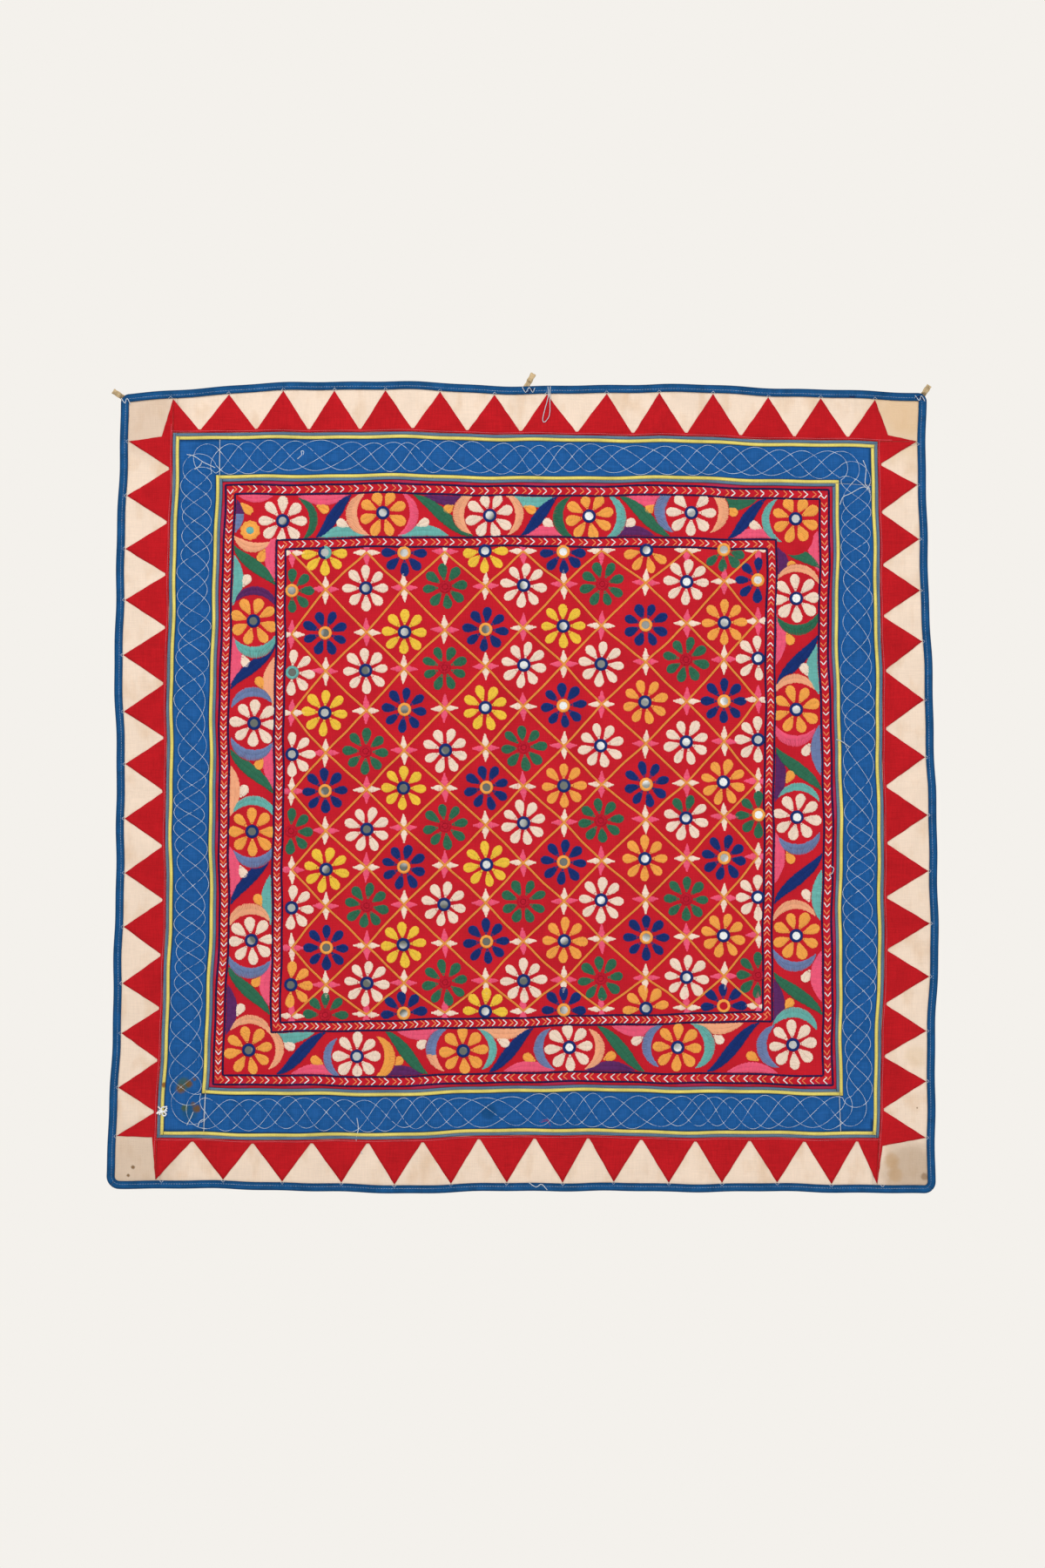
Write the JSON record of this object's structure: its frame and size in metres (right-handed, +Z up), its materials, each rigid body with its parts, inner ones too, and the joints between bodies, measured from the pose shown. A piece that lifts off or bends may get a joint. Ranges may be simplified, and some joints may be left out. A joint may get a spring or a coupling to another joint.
{
  "type": "embroidered wall hanging",
  "caption": "Square embroidered cotton wall hanging with a red mirrored centre panel, a quilted blue band, a dog-tooth border and loops to hang it by.",
  "frame": {"origin": "on the top edge, at the foot of the centre hanging loop, in the plane of the ground's back", "axes": "+X to the right along the top edge seen from the front, +Z up, the embroidered front faces -Y and the wall is towards +Y"},
  "size_m": [1.2227, 0.0132, 1.2076],
  "materials": {
    "red_ground_cotton": "matt plain-woven cotton under dense cotton embroidery",
    "blue_band_cotton": "matt quilted cotton with white running stitches",
    "yellow_piping_cotton": "matt cotton",
    "pale_piping_cotton": "matt cotton",
    "cream_border_cotton": "matt cotton with a visible weave",
    "red_applique_cotton": "matt cotton",
    "blue_binding_cotton": "matt cotton, creased along the fold",
    "loop_tape": "matt cotton tape",
    "mirror_glass": "slightly cloudy silvered glass"
  },
  "bodies": {
    "root": {"centre_panel": "red_ground_cotton", "blue_band_top": "blue_band_cotton", "blue_band_right": "blue_band_cotton", "blue_band_bottom": "blue_band_cotton", "blue_band_left": "blue_band_cotton", "outer_pale_piping_top": "pale_piping_cotton", "outer_pale_piping_right": "pale_piping_cotton", "outer_pale_piping_bottom": "pale_piping_cotton", "outer_pale_piping_left": "pale_piping_cotton", "outer_yellow_piping_top": "yellow_piping_cotton", "outer_yellow_piping_right": "yellow_piping_cotton", "outer_yellow_piping_bottom": "yellow_piping_cotton", "outer_yellow_piping_left": "yellow_piping_cotton", "inner_yellow_piping_top": "yellow_piping_cotton", "inner_yellow_piping_right": "yellow_piping_cotton", "inner_yellow_piping_bottom": "yellow_piping_cotton", "inner_yellow_piping_left": "yellow_piping_cotton", "inner_pale_piping_top": "pale_piping_cotton", "inner_pale_piping_right": "pale_piping_cotton", "inner_pale_piping_bottom": "pale_piping_cotton", "inner_pale_piping_left": "pale_piping_cotton", "cream_border_top": "cream_border_cotton", "cream_border_right": "cream_border_cotton", "cream_border_bottom": "cream_border_cotton", "cream_border_left": "cream_border_cotton", "red_teeth_top": "red_applique_cotton", "red_teeth_right": "red_applique_cotton", "red_teeth_bottom": "red_applique_cotton", "red_teeth_left": "red_applique_cotton", "edge_binding_top": "blue_binding_cotton", "edge_binding_right": "blue_binding_cotton", "edge_binding_bottom": "blue_binding_cotton", "edge_binding_left": "blue_binding_cotton", "mirror_top_1": "mirror_glass", "mirror_top_2": "mirror_glass", "mirror_top_3": "mirror_glass", "mirror_top_4": "mirror_glass", "mirror_top_5": "mirror_glass", "mirror_top_6": "mirror_glass", "mirror_right_1": "mirror_glass", "mirror_right_2": "mirror_glass", "mirror_right_3": "mirror_glass", "mirror_right_4": "mirror_glass", "mirror_right_5": "mirror_glass", "mirror_bottom_1": "mirror_glass", "mirror_bottom_2": "mirror_glass", "mirror_bottom_3": "mirror_glass", "mirror_bottom_4": "mirror_glass", "mirror_bottom_5": "mirror_glass", "mirror_left_1": "mirror_glass", "mirror_left_2": "mirror_glass", "mirror_left_3": "mirror_glass", "mirror_left_4": "mirror_glass", "hanging_loop_left": "loop_tape", "hanging_loop_centre": "loop_tape", "hanging_loop_right": "loop_tape"}
  },
  "joints": []
}
